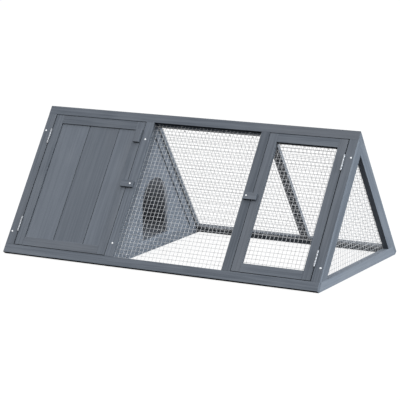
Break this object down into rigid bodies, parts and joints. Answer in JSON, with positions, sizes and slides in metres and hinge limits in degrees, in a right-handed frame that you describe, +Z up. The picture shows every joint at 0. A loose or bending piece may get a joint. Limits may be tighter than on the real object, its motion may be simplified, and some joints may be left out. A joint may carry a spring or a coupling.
{
  "type": "rabbit hutch",
  "caption": "Triangular wooden rabbit hutch with a boarded sleeping end, an arched inner doorway, a wire mesh run, a solid door, a mesh door and wooden turn buttons.",
  "frame": {"origin": "on the ground under the middle of the ridge, at the bottom centre of the box round the hutch", "axes": "+X along the ridge from the sleeping compartment towards the run, -Y out of the front with the two doors, +Z up"},
  "size_m": [1.18, 0.64, 0.4683],
  "materials": {
    "stained_frame": "matt blue-grey stain, sawn and sanded softwood",
    "stained_boards": "matt blue-grey stain, boards with faint grain",
    "floor_wood": "matt blue-grey stain",
    "mesh_wire": "galvanised welded wire",
    "hinge_steel": "zinc-plated pressed steel",
    "screw_steel": "zinc-plated",
    "staple_steel": "galvanised"
  },
  "bodies": {
    "frame": {"front_bottom_rail": "stained_frame", "front_top_rail": "stained_frame", "front_left_post": "stained_frame", "front_divider_post": "stained_frame", "front_door_post": "stained_frame", "front_right_post": "stained_frame", "rear_bottom_rail": "stained_frame", "rear_top_rail": "stained_frame", "rear_left_post": "stained_frame", "rear_divider_post": "stained_frame", "rear_middle_post": "stained_frame", "rear_right_post": "stained_frame", "rear_wall_boards": "stained_boards", "left_end_front_leg": "stained_frame", "left_end_rear_leg": "stained_frame", "left_end_bottom_rail": "stained_frame", "left_end_boards": "stained_boards", "divider_front_leg": "stained_frame", "divider_rear_leg": "stained_frame", "divider_bottom_rail": "stained_frame", "divider_panel": "stained_boards", "floor_boards": "floor_wood", "floor_battens": "floor_wood", "right_end_front_leg": "stained_frame", "right_end_rear_leg": "stained_frame", "right_end_bottom_rail": "stained_frame", "front_mesh": "mesh_wire", "rear_mesh": "mesh_wire", "right_end_mesh": "mesh_wire", "mesh_staples": "staple_steel", "panel_screws": "screw_steel", "frame_corner_screws": "screw_steel", "left_hinge_frame_leaves": "hinge_steel", "right_hinge_frame_leaves": "hinge_steel", "hinge_frame_screws": "screw_steel", "button_screws": "screw_steel"},
    "left_door": {"left_door_hinge_stile": "stained_frame", "left_door_latch_stile": "stained_frame", "left_door_top_rail": "stained_frame", "left_door_bottom_rail": "stained_frame", "left_door_boards": "stained_boards", "left_door_pull": "stained_frame", "left_door_pull_screws": "screw_steel", "left_hinge_door_leaves": "hinge_steel", "left_hinge_pins": "hinge_steel", "left_hinge_door_screws": "screw_steel"},
    "right_door": {"right_door_latch_stile": "stained_frame", "right_door_hinge_stile": "stained_frame", "right_door_top_rail": "stained_frame", "right_door_bottom_rail": "stained_frame", "right_door_mesh": "mesh_wire", "right_door_mesh_staples": "staple_steel", "right_hinge_door_leaves": "hinge_steel", "right_hinge_pins": "hinge_steel", "right_hinge_door_screws": "screw_steel"},
    "left_turn_button": {"left_turn_button": "stained_frame"},
    "right_turn_button": {"right_turn_button": "stained_frame"}
  },
  "joints": [
    {"name": "left_door_hinge", "type": "hinge", "parent": "frame", "child": "left_door", "pos_m": [-0.5574, -0.16523, 0.23593], "axis": [0, -0.5707, -0.8211], "range_deg": [0, 180]},
    {"name": "right_door_hinge", "type": "hinge", "parent": "frame", "child": "right_door", "pos_m": [0.5574, -0.16523, 0.23593], "axis": [0, 0.5707, 0.8211], "range_deg": [0, 180]},
    {"name": "left_button_turn", "type": "hinge", "parent": "frame", "child": "left_turn_button", "pos_m": [-0.181, -0.15546, 0.25227], "axis": [0, -0.8211, 0.5707], "range_deg": [-90, 90]},
    {"name": "right_button_turn", "type": "hinge", "parent": "frame", "child": "right_turn_button", "pos_m": [0.2575, -0.15546, 0.25227], "axis": [0, -0.8211, 0.5707], "range_deg": [-90, 90]}
  ]
}
